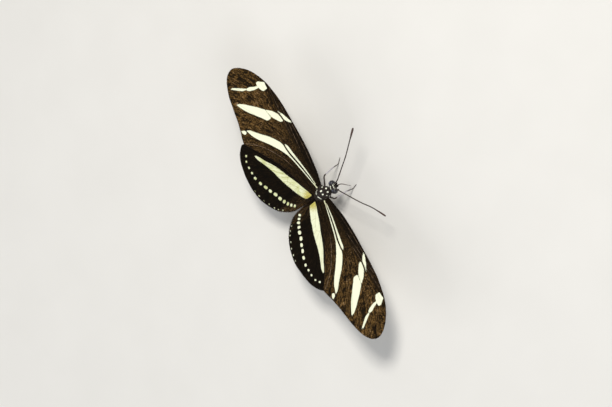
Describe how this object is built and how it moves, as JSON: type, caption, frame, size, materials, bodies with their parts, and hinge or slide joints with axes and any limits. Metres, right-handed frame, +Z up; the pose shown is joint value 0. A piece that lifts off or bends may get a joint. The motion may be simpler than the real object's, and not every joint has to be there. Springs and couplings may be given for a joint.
{
  "type": "zebra longwing butterfly",
  "caption": "Life-size still model of a zebra longwing butterfly, standing with its long striped wings held open.",
  "frame": {"origin": "centre of the bounding box's base, on the floor that the feet and the tip of the abdomen stand on", "axes": "+X towards the butterfly's left wing tip, -Y forward past the head, +Z up"},
  "size_m": [0.0932, 0.0406, 0.0168],
  "materials": {
    "body": "black hair-like scales with cream spots",
    "eyes": "dark faceted eye with a bluish sheen",
    "limbs": "dark horn-like skin with fine scales",
    "wings": "black-brown scales with pale yellow bands and spots"
  },
  "bodies": {
    "root": {"thorax": "body", "abdomen": "body", "head": "body", "palp_l": "body", "palp_r": "body", "eye_l": "eyes", "eye_r": "eyes", "antenna_l": "limbs", "antenna_r": "limbs", "proboscis": "limbs", "foreleg_l": "limbs", "foreleg_r": "limbs", "midleg_l": "limbs", "midleg_r": "limbs", "hindleg_l": "limbs", "hindleg_r": "limbs", "wing_fore_l": "wings", "wing_fore_r": "wings", "wing_hind_l": "wings", "wing_hind_r": "wings"}
  },
  "joints": []
}
